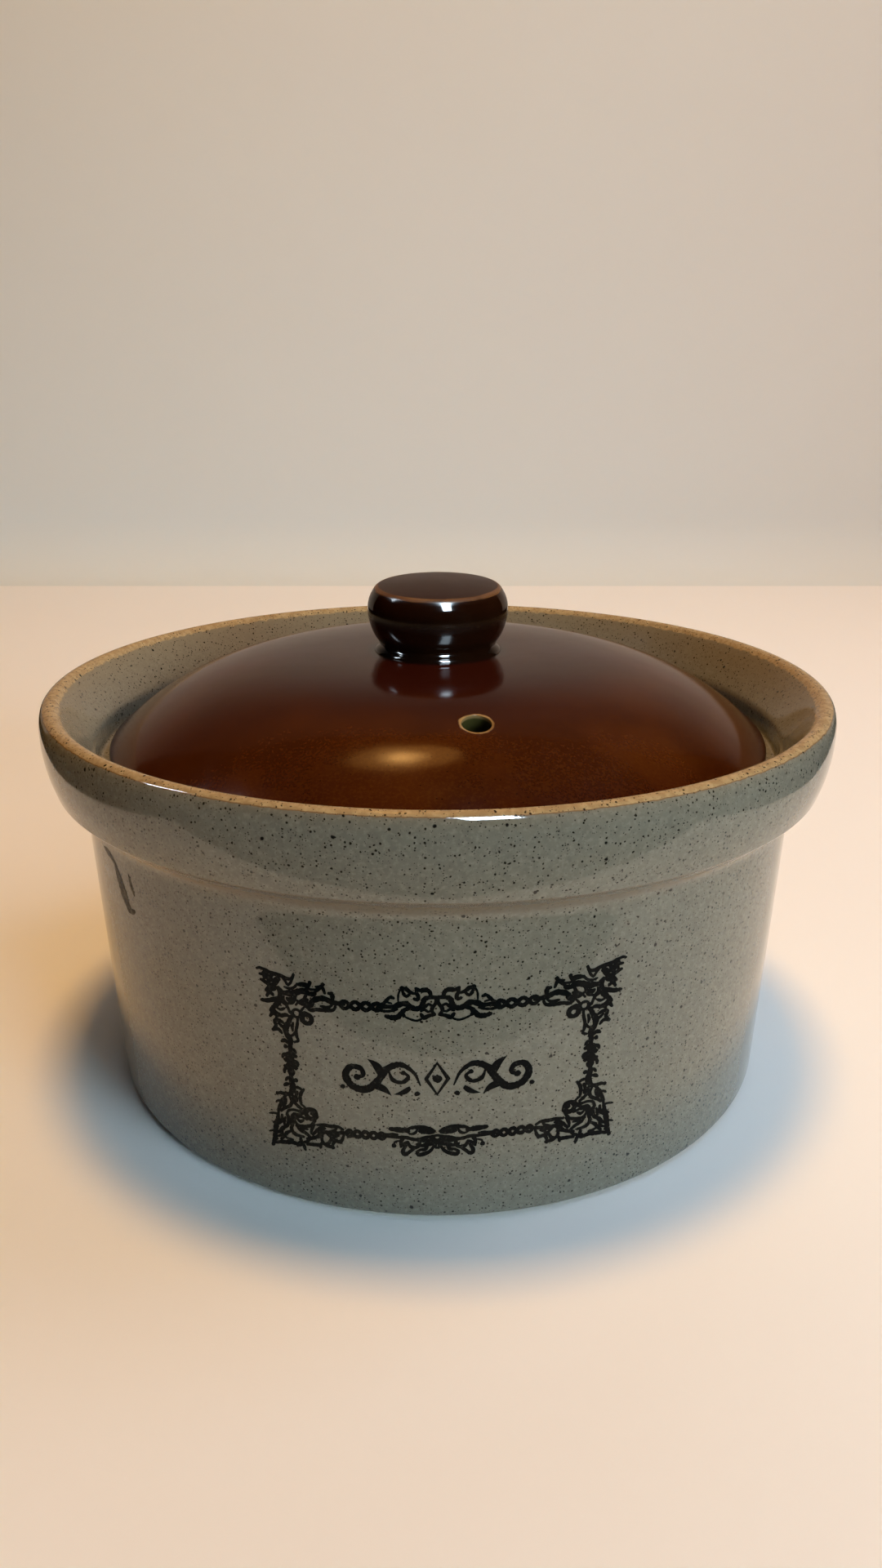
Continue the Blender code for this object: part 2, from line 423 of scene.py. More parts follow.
def turned(name, line, segments, fields):
    """A closed surface turned about z, with values along its section kept as point attributes."""
    vertices = []
    values = {key: [] for key in fields}
    rings = []
    angles = [math.tau * step / segments for step in range(segments)]
    for index, (radius, height) in enumerate(line):
        ring = [(radius * math.cos(a), radius * math.sin(a), height) for a in angles]
        if radius < AXIS_RADIUS:
            ring = [(0.0, 0.0, height)]
        rings.append(range(len(vertices), len(vertices) + len(ring)))
        vertices += ring
        for key, field in fields.items():
            values[key] += [float(field[index])] * len(ring)
    faces = []
    corners = []
    along = path_lengths(line) / path_lengths(line)[-1]
    for index, (upper, lower) in enumerate(zip(rings, rings[1:])):
        for step in range(segments):
            onward = (step + 1) % segments
            left, right = step / segments, (step + 1) / segments
            top, bottom = 1 - along[index], 1 - along[index + 1]
            if len(upper) == 1:
                faces.append((upper[0], lower[step], lower[onward]))
                corners += [((left + right) / 2, top), (left, bottom), (right, bottom)]
            elif len(lower) == 1:
                faces.append((upper[step], lower[0], upper[onward]))
                corners += [(left, top), ((left + right) / 2, bottom), (right, top)]
            else:
                faces.append((upper[step], lower[step], lower[onward], upper[onward]))
                corners += [(left, top), (left, bottom), (right, bottom), (right, top)]
    piece = smooth_piece(name, vertices, faces, corners)
    for key, numbers in values.items():
        piece.data.attributes.new(key, "FLOAT", "POINT").data.foreach_set("value", numbers)
    return piece


def unevenness(x, y, z, phase):
    """A slow wave from 0 to 1 round and up a turned piece."""
    around = np.arctan2(y, x)
    waves = [s * np.sin(count * around + share * phase + rise * z) for s, count, share, rise in CLAY_WAVES]
    return 0.5 + 0.5 * sum(waves)


def corners_of(mesh):
    """Places of a mesh's corners, one in each row."""
    places = np.zeros(len(mesh.vertices) * 3)
    mesh.vertices.foreach_get("co", places)
    return places.reshape(-1, 3)


def settle(mesh, depth, phase):
    """Draws a turned mesh inwards by a slow wave, as hand-finished clay is never quite round."""
    places = corners_of(mesh)
    radius = np.maximum(np.hypot(places[:, 0], places[:, 1]), AXIS_RADIUS)
    reach = np.clip(radius / (UNEVEN_FROM * radius.max()), 0.0, 1.0)
    shrink = 1 - depth * reach * unevenness(*places.T, phase) / radius
    places[:, :2] *= shrink[:, None]
    places[:, 2] = np.maximum(places[:, 2], 0.0)
    mesh.vertices.foreach_set("co", places.ravel())
    mesh.update()


def apply_modifier(piece, name):
    """Makes a modifier's shape the piece's own."""
    bpy.context.view_layer.objects.active = piece
    with bpy.context.temp_override(object=piece, active_object=piece):
        bpy.ops.object.modifier_apply(modifier=name)


def join(piece, body, slot, material, *nodes):
    """Gives a finished piece its material and body, and hides the CAD nodes that it stands for; the slot is
    not used.
    """
    piece.data.materials.clear()
    piece.data.materials.append(material)
    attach(piece, body)
    if nodes:
        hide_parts(*nodes)


dish_line = refined(section("dish"))
dish_line = softened(dish_line, int(np.argmax(dish_line.sum(axis=1))), RIM_SOFT_REACH, RIM_SOFT_BLUR)
lid_line = refined(section("lid"))
knob_line = refined(section("lid_knob"))
rim_level = dish_line[:, 1].max()
edge_index = int(np.argmax(lid_line[:, 0]))
dome_line = lid_line[: edge_index + 1]


def dome_level(radius):
    """Height of the dome's outer surface at a radius."""
    return float(np.interp(radius, dome_line[:, 0], dome_line[:, 1]))


outer_side = dish_line[int(np.argmax(dish_line[:, 0])):]
outer_side = outer_side[: int(np.argmin(outer_side[:, 1])) + 1]


def wall_radius(height):
    """Outer radius of the dish at a height below its widest level."""
    return np.interp(height, outer_side[::-1, 1], outer_side[::-1, 0])


# Glazes


def unglazed(m, tone):
    """A tone with bare clay where no glaze lies, and the share of bare clay."""
    clay = m.mix(m.noise(0.0015), DARK_CLAY, PALE_CLAY)
    bare = m.span(m.plus(m.attribute("bare"), m.noise(0.004), 0.3), 0.55, 0.75)
    return m.mix(bare, tone, clay), bare


def pale_gloss(m):
    """Gloss of the pale glaze, and the slow waves in its surface."""
    gloss = m.span(m.noise(0.006), 0.3, 0.7, 0.05, 0.09)
    wave = m.bump(m.noise(0.016, 1.0), 0.10 * MM)
    return gloss, m.bump(m.noise(0.0032, 2.0), 0.020 * MM, wave)


def speckled_glaze():
    """Grey-buff glaze with iron specks, tan on top of the rim, bare clay under the foot."""
    m = Nodes("speckled_glaze_look")
    wander = m.add("TexNoise", {"Vector": m.place, "Scale": WARP_SCALE, "Detail": 1.0}).outputs["Color"]
    offset = m.add("VectorMath", {0: wander, "Scale": WARP_REACH}, operation="SCALE").outputs[0]
    warped = m.vector("ADD", m.place, offset)
    tone = m.mix(m.span(m.noise(0.040), 0.35, 0.65), GREY, BUFF)
    tone = m.mix(m.span(m.noise(0.0022, 4.0), 0.35, 0.70, 0.0, 0.35), tone, DULL_GREY)
    tone = m.mix(m.span(m.noise(0.0009, 2.0), 0.45, 0.75, 0.0, 0.45), tone, LIGHT_BUFF)
    # Painted shade and reflection: the hollow under the collar darker and browner, with fewer specks
    cove = m.math("MULTIPLY", m.attribute("cove"), m.span(m.noise(0.003), 0.2, 0.6, 0.65, 1.0))
    tone = m.mix(cove, tone, m.mix(m.noise(0.0012), COVE_SHADE_BROWN, COVE_SHADE_TAN))
    # Painted reflection of the brown lid: the inside of the mouth tinted buff
    mouth = m.attribute("mouth")
    tone = m.tint(tone, mouth, 0.75, MOUTH_REFLECTION_BUFF)
    frayed = m.frayed(m.attribute("thin"), m.noise(0.0022, 4.0), 0.75)
    rusty = m.math("MULTIPLY", m.span(frayed, 0.18, 0.45, 0.0, 0.85), m.math("SUBTRACT", 1.0, mouth))
    tone = m.mix(rusty, tone, m.mix(m.noise(0.0015), DARK_RUST, RUST))
    tan = m.mix(m.span(m.noise(0.0016), 0.35, 0.7), RIM_TAN, RIM_SAND)
    tone = m.mix(m.span(frayed, 0.46, 0.68), tone, tan)
    clear = m.span(cove, 0.2, 0.8, 1.0, 0.35)
    for cell, radius, least, share, dark in SPECKS:
        speck = m.math("MULTIPLY", m.specks(cell, radius, least, warped), clear)
        tone = m.tint(tone, speck, share, dark)
    tone, bare = unglazed(m, tone)
    gloss, wave = pale_gloss(m)
    gloss = m.plus(gloss, bare, 0.6)
    wave = m.bump(m.noise(0.0007, 2.0), 0.005 * MM, wave)
    m.surface(Base_Color=tone, Roughness=gloss, Normal=wave, IOR=PALE_IOR)
    return m.material


def brown_glaze(name, tones, rough, vent=None):
    """Treacle-brown glaze with fine grain, tan where it runs thin over edges and round a vent, and painted
    shade down the vent's hole.
    """
    m = Nodes(name)
    dark, warm, amber = tones
    tone = m.mix(m.span(m.noise(0.022), 0.35, 0.65), dark, warm)
    tone = m.mix(m.span(m.noise(0.0007, 3.0), 0.42, 0.70, 0.0, 0.26), tone, amber)
    tone = m.tint(tone, m.specks(1.1 * MM, 0.22 * MM, 0.30, m.place), 0.4, BROWN_SPECK)
    tone = m.tint(tone, m.attribute("deep"), 0.90, DEEP_RED)
    tone = m.tint(tone, m.attribute("worn"), 0.75, WORN_BROWN)
    frayed = m.frayed(m.attribute("thin"), m.noise(0.005), 0.8)
    tone = m.mix(m.span(frayed, 0.70, 1.05, 0.0, 0.85), tone, EDGE_TAN)
    if vent:
        level = (1.0, 1.0, 0.0)
        apart = m.vector("SUBTRACT", m.place, (vent.x, vent.y, 0.0))
        away = m.frayed(m.length(m.vector("MULTIPLY", apart, level)), m.noise(0.002), VENT_RING_FRAY)
        near, far = (vent.radius + VENT_RING * share for share in VENT_RING_FADE)
        outwards = m.length(m.vector("MULTIPLY", m.place, level))
        fall = m.math("MULTIPLY", m.math("SUBTRACT", outwards, math.hypot(vent.x, vent.y)), vent.slope)
        height = m.math("ADD", m.axes()[2], fall)
        lip = vent.level - VENT_LIP
        # Painted shade: below the tan lip the vent's hole turns dark olive
        shade = m.mix(m.span(height, lip - VENT_RING, lip, 1.0, 0.0), VENT_TAN, VENT_SHAFT_SHADE)
        tone = m.mix(m.span(away, near, far, 1.0, 0.0), tone, shade)
    tone, bare = unglazed(m, tone)
    gloss = m.span(m.noise(0.008), 0.3, 0.7, rough * 0.8, rough * 1.2)
    for mask, share in ((bare, 0.65), (m.attribute("worn"), 0.26), (m.attribute("dull"), 0.20)):
        gloss = m.plus(gloss, mask, share)
    wave = m.bump(m.noise(0.018, 1.0), 0.06 * MM)
    wave = m.bump(m.noise(0.0022, 2.0), 0.006 * MM, wave)
    m.surface(Base_Color=tone, Roughness=gloss, Normal=wave, IOR=BROWN_IOR)
    return m.material


def print_ink():
    """Black ceramic ink under the glaze, browner and fainter towards the lower left and in patches."""
    m = Nodes("printed_ink_look")
    spot = m.axes()
    worn = m.span(m.math("ADD", spot[0], spot[2]), -0.020, 0.060, 1.0, 0.0)
    patch = m.plus(m.noise(0.010), worn, 0.12)
    tone = m.mix(m.span(patch, 0.42, 0.78), INK_BLACK, INK_WORN)
    grain = m.plus(m.noise(0.0008, 3.0), worn, 0.07)
    tone = m.mix(m.span(grain, 0.58, 0.78, 0.0, 0.45), tone, INK_GRAIN)
    gloss, wave = pale_gloss(m)
    m.surface(Base_Color=tone, Roughness=gloss, Normal=wave, IOR=PALE_IOR, Specular_IOR_Level=INK_SHINE)
    return m.material


def scar_glaze():
    """Dark olive-brown glaze in a scratch."""
    m = Nodes("scar_glaze_look")
    tone = m.mix(m.span(m.noise(0.0015), 0.35, 0.65), SCAR_DARK, SCAR_PALE)
    gloss = m.span(m.noise(0.002), 0.3, 0.7, 0.10, 0.25)
    wave = m.bump(m.noise(0.0012), 0.04 * MM)
    m.surface(Base_Color=tone, Roughness=gloss, Normal=wave, IOR=PALE_IOR, Specular_IOR_Level=SCAR_SHINE)
    return m.material


# Printed frame


class Ink:
    """Flat shapes of the print, in millimetres along the wall from its middle and up from the foot.
    Shapes may overlap."""

    def __init__(self, tilt=0.0):
        self.tilt = tilt
        self.points = []
        self.faces = []
        self.chance = random.Random(PRINT_SEED)
        self.set_place(0.0, 1)

    def set_place(self, up, across):
        """Following shapes start from a height above the foot, with a signed scale across."""
        self.origin = np.array((0.0, up))
        self.scale = np.array((across, 1.0))
        self.chance.seed(PRINT_SEED)

    def area(self, outline):
        placed = np.asarray(outline) * self.scale + self.origin
        placed[:, 1] += self.tilt * (placed[:, 0] - PRINT_PIVOT)
        ring = placed - placed[0]
        if np.sum(ring[:-1, 0] * ring[1:, 1] - ring[1:, 0] * ring[:-1, 1]) < 0:
            placed = placed[::-1]
        start = len(self.points)
        self.points += [tuple(point) for point in placed]
        self.faces.append(list(range(start, start + len(placed))))

    def stroke(self, line, width, ends):
        """A pen line along points that swells from its ends to its middle."""
        line = np.asarray(line, dtype=float)
        heading = np.gradient(line, axis=0)
        heading /= np.linalg.norm(heading, axis=1)[:, None]
        side = np.stack([-heading[:, 1], heading[:, 0]], axis=1)
        share = np.linspace(0.0, 1.0, len(line))
        swell = np.minimum(1.0, ends[0] + (1 - ends[0]) * share * SWELL_RATE)
        swell = np.minimum(swell, ends[1] + (1 - ends[1]) * (1 - share) * SWELL_RATE)
        tremble = np.array([self.chance.uniform(*STROKE_TREMBLE) for _ in line])
        half = (width / 2 * swell * tremble)[:, None]
        left, right = line + side * half, line - side * half
        for index in range(len(line) - 1):
            self.area([left[index], right[index], right[index + 1], left[index + 1]])
        self.dot(line[0], half[0, 0])
        self.dot(line[-1], half[-1, 0])

    def dot(self, middle, radius, corners=DOT_CORNERS):
        turn = self.chance.uniform(0.0, 1.0)
        ring = []
        for step in range(corners):
            angle = math.tau * (step + turn) / corners
            reach = radius * self.chance.uniform(*DOT_TREMBLE)
            ring.append((middle[0] + reach * math.cos(angle), middle[1] + reach * math.sin(angle)))
        self.area(ring)

    def curve(self, knots, width, ends):
        self.stroke(through(knots), width, ends)

    def leaf(self, base, tip, width, bow):
        """A pointed leaf from a base to a tip, bowed to its left."""
        base, tip = np.array([base, tip])
        along = tip - base
        side = np.array([-along[1], along[0]]) / np.linalg.norm(along)
        left, right = [], []
        for step in range(LEAF_STEPS + 1):
            share = step / LEAF_STEPS
            spine = base + along * share + side * bow * math.sin(math.pi * share)
            half = width / 2 * math.sin(math.pi * min(1.0, 0.16 + 0.84 * share) ** 0.8)
            left.append(spine + side * half)
            right.append(spine - side * half)
        self.area(right + left[::-1])

    def rings(self, spots):
        """Circles, each given by its place, radius and width."""
        angles = [math.tau * step / RING_STEPS for step in range(RING_STEPS + 1)]
        for x, y, radius, width in spots:
            line = [(x + radius * math.cos(a), y + radius * math.sin(a)) for a in angles]
            self.stroke(line, width, EVEN_ENDS)

    def chain(self, swing, link, width):
        """Two strands that wind about each other along x."""
        start, end = CHAIN_SPAN
        count = int((end - start) / link * LINK_STEPS)
        xs = np.linspace(start, end, count + 1)
        wave = np.sin(math.pi * (xs - start) / link)
        for sign in (-1, 1):
            self.stroke(np.stack([xs, sign * swing * wave], axis=1), width, CHAIN_ENDS)

    def scrolls(self, strokes):
        """Pen lines, each given by its width and, in tenths, the places that it passes."""
        for width, *knots in strokes:
            self.curve(np.reshape(knots, (-1, 2)) / 10, width * SCROLL_WEIGHT, SCROLL_ENDS)

    def dots(self, spots):
        """Blots, each given by its place and radius."""
        for x, y, radius in spots:
            self.dot((x, y), radius)


def inside(spots, outline):
    """Which spots lie inside a closed outline."""
    first, second = outline, np.roll(outline, -1, axis=0)
    x, y = spots[:, :1], spots[:, 1:]
    spans = (first[:, 1] > y) != (second[:, 1] > y)
    rise = np.where(first[:, 1] == second[:, 1], 1.0, second[:, 1] - first[:, 1])
    crossing = first[:, 0] + (y - first[:, 1]) * (second[:, 0] - first[:, 0]) / rise
    return np.sum(spans & (x < crossing), axis=1) % 2 == 1


def through(knots):
    """Points along a smooth line through knots, about a pen step apart."""
    knots = np.asarray(knots, dtype=float)
    padded = np.vstack([2 * knots[0] - knots[1], knots, 2 * knots[-1] - knots[-2]])
    line = [knots[0]]
    for index in range(len(knots) - 1):
        before, first, second, after = padded[index: index + 4]
        count = max(2, int(np.linalg.norm(second - first) / PEN_STEP))
        for part in range(1, count + 1):
            t = part / count
            line.append(
                0.5 * (2 * first + (second - before) * t
                       + (2 * before - 5 * first + 4 * second - after) * t ** 2
                       + (3 * first - before - 3 * second + after) * t ** 3)
            )
    return np.array(line)


# Pen lines of the right half: width in millimetres, then places across and up by turns in tenths of one

UPPER_CORNER = (
    (1.25, 200, 558, 224, 559, 244, 566, 264, 561, 278, 549),
    (0.85, 219, 549, 224, 541, 242, 538, 262, 537.5, 276, 534, 288, 543),
    (0.95, 224, 563, 225, 577, 232, 580),
    (0.8, 241, 579, 247, 593, 256, 587, 266, 576),
    (0.8, 243, 600, 250, 593, 260, 592),
    (1, 273, 601, 278, 593, 290, 593.5, 302, 592),
    (1.3, 264, 575, 276, 573, 288, 578, 302, 575, 314, 569, 328, 567, 341, 567, 350, 576),
    (0.6, 304, 594, 310, 585, 322, 579, 335, 581),
    (0.85, 311, 614, 316, 604, 328, 602, 344, 607, 364, 609, 380, 614, 392, 617, 400, 614),
    (0.65, 314, 603, 319, 594, 326, 587, 332, 596, 340, 604),
    (0.9, 344, 606, 352, 598, 362, 592, 374, 594, 384, 602, 394, 602),
    (0.9, 346, 597, 358, 584, 370, 580, 382, 585, 392, 589),
    (1, 362, 606, 370, 598, 382, 610),
    (0.8, 354, 577, 364, 569, 372, 574, 382, 565),
    (0.9, 364, 582, 368, 570, 376, 559, 380, 552),
    (1, 352, 553, 366, 545, 380, 540, 395, 539),
    (1.2, 349, 576, 347, 562, 348, 548, 356, 536, 366, 526, 372, 518),
    (0.85, 368, 524, 360, 514, 348, 510, 334, 513, 324, 506),
    (0.9, 363, 508, 369, 512, 376, 503),
    (0.7, 283, 574, 287, 564, 294, 555, 304, 549, 310, 542),
    (0.9, 282, 559, 288, 550, 296, 546, 306, 552),
    (1.1, 319, 556, 325, 550, 330, 554),
    (0.6, 300, 571, 308, 566, 310, 556),
    (0.6, 316, 568, 312, 558, 316, 546, 328, 542, 334, 532),
    (0.6, 290, 540, 298, 530, 302, 520),
    (0.7, 316, 514, 326, 522, 332, 536, 342, 542),
    (0.8, 279, 520, 290, 526, 298, 516, 300, 504),
    (0.75, 308, 510, 310, 494, 314, 478, 313, 462, 310, 454, 320, 449),
    (1.3, 324, 510, 332, 494, 339, 480, 338, 466, 330, 454, 331, 440, 332, 422),
    (0.6, 316, 476, 322, 466, 332, 462),
    (0.9, 344, 492, 356, 497, 366, 493, 363, 482, 372, 470),
    (0.8, 370, 470, 358, 474, 350, 466),
    (0.9, 336, 444, 344, 449, 352, 445),
    (0.7, 226, 552, 236, 546, 252, 547),
    (0.6, 268, 550, 276, 542, 286, 552),
    (0.6, 262, 586, 272, 584, 284, 587),
    (0.6, 338, 558, 339, 548, 332, 543),
    (0.65, 338, 529, 348, 524, 356, 526),
    (0.7, 346, 506, 354, 509, 362, 502),
    (0.65, 320, 496, 323, 486, 322, 476),
    (0.7, 342, 478, 350, 484, 356, 489),
    (0.7, 374, 604, 382, 596, 386, 587),
)

LOWER_CORNER = (
    (1.35, 335, 362, 334, 344, 333, 330, 339, 314),
    (0.8, 305, 332, 313, 320, 316, 306, 314, 290),
    (0.7, 310, 330, 320, 334, 330, 332),
    (0.8, 342, 339, 348, 337, 354, 333),
    (0.9, 338, 316, 352, 310, 364, 311, 375, 307),
    (0.9, 334, 310, 332, 296, 325, 287, 315, 280),
    (0.8, 344, 310, 338, 294, 344, 281, 358, 273, 368, 262),
    (0.8, 352, 306, 362, 294, 368, 280, 374, 264, 376, 248),
    (0.6, 366, 290, 373, 289, 379, 284),
    (0.7, 312, 290, 304, 283, 308, 274, 320, 272, 334, 273, 348, 268, 354, 256),
    (0.75, 278, 266, 284, 252, 294, 240, 308, 235, 324, 234, 334, 244, 330, 255, 316, 258, 302, 254),
    (0.8, 310, 268, 322, 262, 334, 262, 340, 252, 339, 238),
    (0.55, 376, 253, 390, 252, 400, 249),
    (1.2, 377, 250, 380, 232, 386, 214, 389, 196, 392, 182, 397, 166),
    (1, 392, 172, 378, 177, 360, 181, 342, 184, 326, 182, 316, 186, 312, 172),
    (0.9, 352, 258, 350, 242, 354, 228, 366, 218, 376, 206, 386, 202),
    (0.9, 366, 252, 368, 238, 376, 228),
    (0.85, 330, 232, 322, 222, 310, 218, 298, 208, 304, 196, 316, 190),
    (0.85, 338, 236, 344, 222, 338, 210, 324, 206, 314, 206),
    (0.8, 322, 204, 322, 192, 330, 184),
    (0.8, 344, 216, 358, 206, 364, 196, 374, 186),
    (0.7, 342, 192, 354, 192, 364, 196),
    (0.5, 388, 206, 396, 204, 404, 200),
    (0.5, 384, 230, 388, 229, 392, 226),
    (1, 200, 236, 222, 232, 242, 227, 262, 228, 274, 216, 288, 208, 304, 202),
    (0.85, 216, 242, 228, 248, 244, 246, 262, 247, 278, 244),
    (0.7, 230, 244, 236, 236, 254, 230),
    (0.8, 260, 244, 272, 236, 282, 226, 290, 216),
    (0.7, 284, 244, 292, 230, 294, 218),
    (0.8, 214, 228, 220, 212, 230, 208, 244, 216, 254, 224),
    (0.8, 222, 206, 234, 210, 242, 198, 240, 190),
    (0.8, 246, 212, 252, 200, 262, 196, 268, 206, 266, 218),
    (0.9, 242, 192, 254, 192, 264, 198),
    (0.9, 266, 200, 274, 192, 286, 190, 298, 189, 306, 187),
    (0.7, 270, 192, 272, 188, 273, 184),
    (0.8, 352, 298, 356, 286, 362, 278),
    (0.8, 322, 322, 326, 310, 324, 298),
    (0.75, 346, 252, 342, 244, 346, 232),
    (0.75, 358, 248, 362, 234, 360, 222),
    (0.7, 368, 212, 372, 198, 382, 192),
    (0.75, 312, 250, 320, 245, 326, 250),
    (0.7, 302, 228, 314, 229, 324, 224),
    (0.7, 226, 224, 236, 220, 242, 208),
    (0.7, 276, 222, 270, 234, 258, 238),
)

UPPER_CREST = (
    (1.15, -2, 580, 14, 581, 26, 577, 30, 566, 35, 557, 46, 554, 56, 559, 66, 566, 79, 564, 92, 558, 108,
     558, 126, 555),
    (0.95, 13, 582, 15, 593, 23, 598.5, 36, 597.5, 44, 602),
    (0.8, 44, 600, 42, 590, 39, 582, 42, 575, 48, 578),
    (0.9, 47, 590, 56, 593, 64, 600, 73, 603),
    (0.7, 56, 590, 64, 583, 70, 589, 73, 600),
    (0.45, 76, 601, 81, 588, 82, 572),
    (0.8, 92, 579, 100, 580, 107, 572, 116, 563, 126, 559),
    (0.5, 96, 566, 104, 568, 110, 570),
    (0.75, 3, 576, 3, 566, 9, 558, 11, 549, 6, 542),
    (0.7, 10, 561, 18, 565, 24, 560, 32, 556),
    (0.6, 11, 550, 19, 547, 26, 552, 34, 548),
    (0.9, 5, 540, 16, 538, 28, 533, 34, 542),
    (0.5, 26, 534, 42, 526, 56, 529, 70, 536),
    (0.95, 59, 554, 68, 552, 74, 544, 70, 537),
    (1.1, 76, 546, 82, 535, 94, 532, 108, 535),
    (0.6, 84, 552, 98, 548, 112, 547, 126, 549),
)

LOWER_CREST = (
    (0.9, 6, 250, 16, 256, 30, 260, 48, 260, 62, 257, 69, 250),
    (1.2, 9, 247, 22, 249, 38, 250),
    (0.9, 7, 231, 14, 227, 26, 224, 36, 226),
    (0.6, 44, 256, 49, 246, 58, 242, 66, 246),
    (1.2, 66, 250, 80, 252, 94, 253, 106, 254),
    (0.8, 0, 239, 14, 236, 28, 233, 42, 228, 56, 229, 70, 233, 88, 233, 106, 234, 126, 234),
    (0.9, 2, 228, 10, 218, 22, 216, 34, 212, 46, 216),
    (0.9, 42, 228, 40, 216, 48, 207, 60, 209, 66, 220),
    (0.85, 8, 210, 16, 198, 28, 191, 42, 188, 45, 196, 36, 202),
    (0.8, 22, 212, 28, 202, 38, 202),
    (0.85, 52, 204, 60, 198, 70, 189, 77, 189, 77, 200, 70, 212),
    (0.7, 66, 222, 76, 216, 82, 208),
    (0.9, 76, 232, 82, 222, 82, 212),
    (0.5, 86, 224, 96, 220, 98, 213),
    (0.8, 90, 240, 110, 239, 128, 237),
    (0.7, 0, 226, 5, 212, 2, 206),
)

SIDE_LINKS = (
    (1, 332, 424, 323, 414, 338, 402, 324, 389, 338, 374, 335, 360),
    (0.95, 333, 420, 344, 412, 326, 400, 342, 386, 328, 372, 334, 362),
    (0.75, 340, 414, 349, 413, 353, 405),
    (0.75, 326, 402, 316, 398, 316, 389),
    (0.75, 340, 380, 349, 376, 351, 367),
    (0.7, 332, 430, 323, 429, 318, 422),
    (0.7, 334, 356, 344, 354, 349, 347),
)

# Rings by place, radius and width, and dots by place and radius

UPPER_RINGS = ((31.0, 52.1, 0.95, 0.75), (28.6, 51.1, 1.1, 1.15))
LOWER_RINGS = ((29.1, 27.0, 1.25, 1.25),)
UPPER_DOTS = (
    (22.6, 58.0, 0.5), (24.5, 60.0, 0.45), (27.4, 60.1, 0.45), (38.2, 60.6, 0.7), (37.2, 59.0, 0.6),
    (39.0, 60.2, 0.4), (36.6, 55.8, 0.5), (35.8, 54.0, 0.6),
)
LOWER_DOTS = (
    (28.6, 27.3, 0.8), (33.2, 32.4, 0.8), (37.4, 30.8, 0.5), (38.9, 18.6, 0.8), (24.2, 19.0, 0.5),
)
UPPER_CREST_DOTS = ((7.4, 60.3, 0.5), (9.6, 58.1, 0.45), (4.7, 57.7, 0.4))
LOWER_CREST_DOTS = ((9.8, 21.1, 0.6), (3.4, 25.3, 0.8))
SIDE_BEADS = (
    (33.3, 40.9, 0.95), (32.9, 39.4, 1.0), (33.5, 37.8, 0.95), (32.2, 38.4, 0.65), (34.5, 40.0, 0.65),
    (32.0, 41.3, 0.55), (34.7, 38.3, 0.55), (34.3, 43.4, 0.6), (32.3, 35.2, 0.6),
)

# Strokes, rings and dots of each ornament, in drawing order
ORNAMENTS = (
    (UPPER_CORNER, UPPER_RINGS, UPPER_DOTS),
    (LOWER_CORNER, LOWER_RINGS, LOWER_DOTS),
    (UPPER_CREST, (), UPPER_CREST_DOTS),
    (LOWER_CREST, (), LOWER_CREST_DOTS),
    ((), (), SIDE_BEADS),
    (SIDE_LINKS, (), ()),
)


def flourish(ink):
    """Plain scroll ornament in the middle of the panel."""
    for sign in (-1, 1):
        ink.set_place(PANEL_MIDDLE, sign)
        ink.curve([(3.5, -1.6), (4.9, 1.6), (7.6, 3.5), (10.5, 2.3), (12.5, -0.8), (15.0, -3.1),
                   (18.0, -2.5), (19.4, 0.1), (18.2, 2.3), (16.1, 2.1), (15.6, 0.5), (16.9, -0.2)],
                  1.75, (0.2, 0.55))
        ink.curve([(10.2, 2.2), (9.3, -0.3), (7.3, -0.9), (6.0, 0.5), (7.0, 1.6)], 0.95, (0.4, 0.7))
        ink.leaf((11.7, 0.8), (14.6, 4.6), 1.9, 0.6)
        ink.leaf((13.7, -1.9), (9.6, -4.4), 1.8, -0.6)
        ink.leaf((5.6, -2.2), (9.2, -4.0), 1.3, -0.4)
        ink.dots([(4.2, -3.7, 0.65), (20.2, -2.9, 0.6), (16.9, -0.1, 0.75), (7.0, 1.5, 0.6)])
    ink.set_place(PANEL_MIDDLE, 1)
    for tip in (3.9, -3.9):
        ink.stroke([(-2.3, 0.0), (0.0, tip), (2.3, 0.0)], 0.9, EVEN_ENDS)
    ink.dot((0.0, 0.0), 1.0, 14)


def drawn_print():
    """All shapes of the print, flat."""
    ink = Ink(PRINT_TILT)
    for side in PRINT_SIDES:
        ink.set_place(0.0, side)
        for strokes, rings, dots in ORNAMENTS:
            ink.scrolls(strokes)
            ink.rings(rings)
            ink.dots(dots)
        ink.set_place(UPPER_BORDER, side)
        ink.chain(0.88, 2.35, 1.05)
        ink.set_place(LOWER_BORDER, side)
        ink.chain(0.82, 1.88, 1.00)
    flourish(ink)
    return ink


def drawn_scar():
    """Runs and scratches in the glaze under the collar, left of the front."""
    ink = Ink()
    ink.curve([(-83.7, 69.9), (-82.6, 67.6), (-81.5, 65.2), (-80.4, 62.8), (-79.2, 61.0)], 3.4, (0.5, 0.7))
    ink.curve([(-80.4, 61.6), (-79.0, 60.7), (-77.6, 60.7), (-76.4, 61.2)], 1.6, (0.8, 0.5))
    ink.curve([(-76.9, 70.2), (-76.5, 68.4), (-76.1, 67.0), (-75.4, 65.6)], 1.2, (0.4, 0.4))
    ink.curve([(-89.9, 72.3), (-88.2, 72.1), (-86.4, 71.7), (-84.8, 71.1), (-83.6, 70.4)], 1.7, (0.5, 0.6))
    return ink


